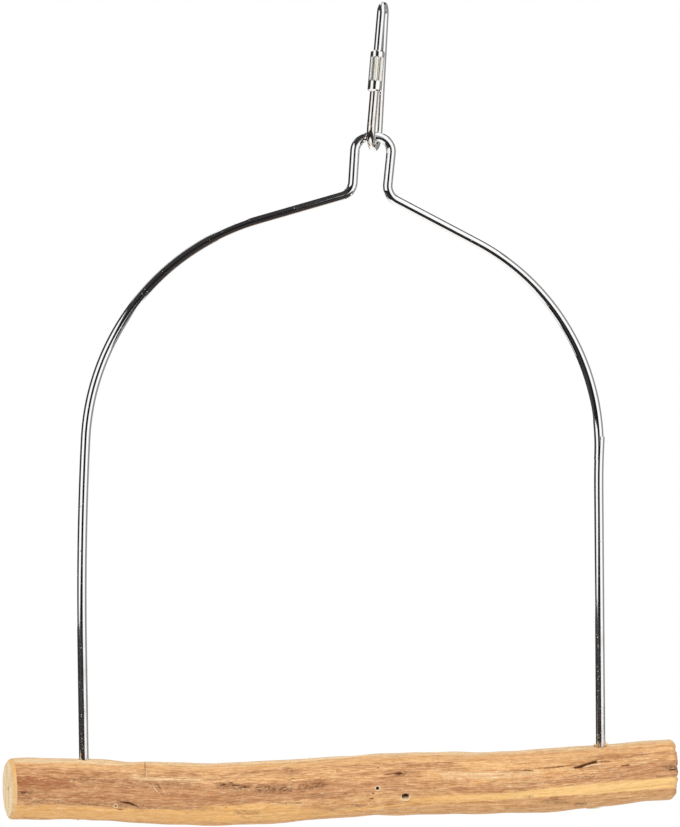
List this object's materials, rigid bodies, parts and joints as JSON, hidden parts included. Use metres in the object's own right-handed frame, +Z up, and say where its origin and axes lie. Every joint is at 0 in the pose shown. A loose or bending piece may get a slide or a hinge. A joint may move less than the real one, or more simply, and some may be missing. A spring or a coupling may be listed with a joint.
{
  "type": "bird swing",
  "caption": "Hanging cage swing for a pet bird: a natural branch perch on an arched wire frame, hung from a pear-shaped screw link.",
  "frame": {"origin": "inside of the link's top bend, where a hook or cage bar carries the swing", "axes": "+X to the right along the perch, +Y to the back, +Z up; the wire frame lies in the XZ plane"},
  "size_m": [0.2478, 0.0245, 0.301],
  "materials": {
    "link_chrome": "bright chrome plate on steel rod",
    "sleeve_plating": "bright plate with a slightly warm straight knurl",
    "frame_chrome": "bright chrome plate on drawn steel wire, with small pits",
    "branch_wood": "peeled natural branch, raw and unsanded"
  },
  "bodies": {
    "link": {"quick_link": "link_chrome"},
    "sleeve": {"sleeve_nut": "sleeve_plating"},
    "swing": {"wire_frame": "frame_chrome", "perch": "branch_wood"}
  },
  "joints": [
    {"name": "swing", "type": "hinge", "parent": "link", "child": "swing", "pos_m": [-0.00325, 0, -0.04644], "axis": [1, 0, 0], "range_deg": [-75, 75]},
    {"name": "sleeve_slide", "type": "slide", "parent": "link", "child": "sleeve", "axis": [0.0951, 0.0814, 0.9921], "range_m": [0, 0.0095]}
  ]
}
